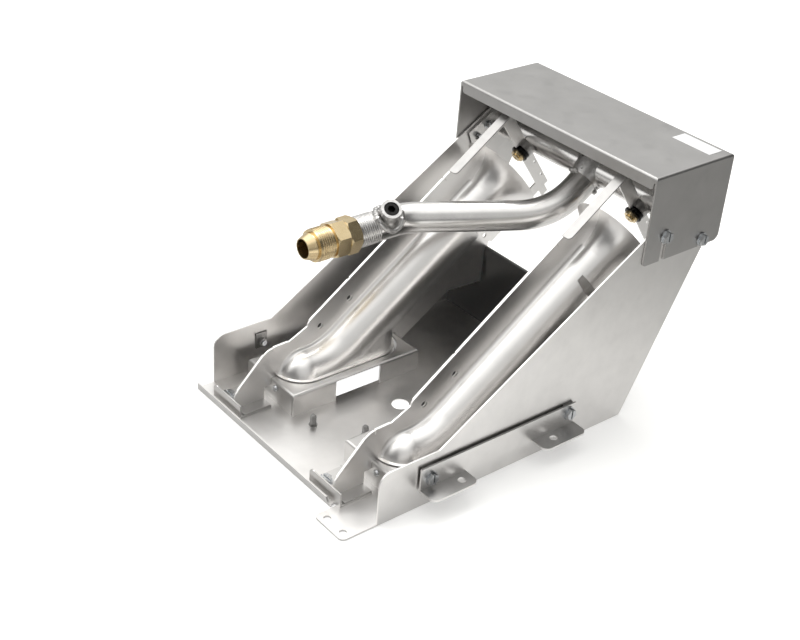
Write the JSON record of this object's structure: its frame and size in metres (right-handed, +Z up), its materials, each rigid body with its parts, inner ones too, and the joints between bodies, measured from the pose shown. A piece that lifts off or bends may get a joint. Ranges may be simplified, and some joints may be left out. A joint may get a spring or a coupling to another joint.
{
  "type": "gas burner",
  "caption": "Inclined venturi gas burners in a sheet metal tray, fed by a pipe manifold behind the mixer mouths under a slotted lift-off cover.",
  "frame": {"origin": "on the underside of the tray floor, mid-width, at the front edge of the side panels", "axes": "+X to the right, +Y from the front lip to the back, +Z up"},
  "size_m": [0.2194, 0.3125, 0.1841],
  "materials": {
    "tray_sheet": "matte satin aluminised sheet",
    "dark_sheet": "matte aluminised sheet, in shade",
    "cover_sheet": "matte satin aluminised sheet",
    "burner_sheet": "satin pressed aluminised sheet",
    "pipe_steel": "satin steel pipe",
    "weld_steel": "rough weld metal",
    "zinc": "bright zinc plate",
    "black_steel": "black oxide",
    "brass": "machined brass",
    "label": "plain white sticker"
  },
  "bodies": {
    "chassis": {"base_pan": "tray_sheet", "left_side_panel": "tray_sheet", "right_side_panel": "tray_sheet", "back_panel": "dark_sheet", "left_channel": "tray_sheet", "right_channel": "tray_sheet", "left_burner_near_half": "burner_sheet", "left_burner_far_half": "burner_sheet", "right_burner_near_half": "burner_sheet", "right_burner_far_half": "burner_sheet", "left_hanger": "burner_sheet", "right_hanger": "burner_sheet", "left_clip": "tray_sheet", "right_clip": "tray_sheet", "left_clip_screw": "zinc", "right_clip_screw": "zinc", "left_channel_screw": "zinc", "right_channel_screw": "zinc", "left_bracket": "tray_sheet", "right_bracket": "tray_sheet", "left_bracket_screw_front": "zinc", "left_bracket_screw_rear": "zinc", "right_bracket_screw_front": "zinc", "right_bracket_screw_rear": "zinc", "left_clip_nut_front": "black_steel", "left_clip_nut_rear": "black_steel", "right_clip_nut_front": "black_steel", "right_clip_nut_rear": "black_steel", "manifold_pipe": "pipe_steel", "left_end_plate": "zinc", "right_end_plate": "zinc", "left_plate_screw": "zinc", "right_plate_screw": "zinc", "left_orifice_holder": "pipe_steel", "right_orifice_holder": "pipe_steel", "left_orifice_ring": "black_steel", "right_orifice_ring": "black_steel", "left_orifice_tip": "brass", "right_orifice_tip": "brass", "supply_pipe": "pipe_steel", "manifold_weld": "weld_steel", "tap_boss": "weld_steel", "socket_plug": "black_steel", "hex_coupling": "brass", "flare_adapter": "brass", "left_cover_screw_front": "zinc", "left_cover_screw_rear": "zinc", "right_cover_screw_front": "zinc", "right_cover_screw_rear": "zinc", "front_stud": "zinc", "rear_stud": "zinc"},
    "cover": {"cover": "cover_sheet", "blank_label": "label"}
  },
  "joints": [
    {"name": "cover_lift", "type": "slide", "parent": "chassis", "child": "cover", "axis": [0, 0, 1], "range_m": [0, 0.07]}
  ]
}
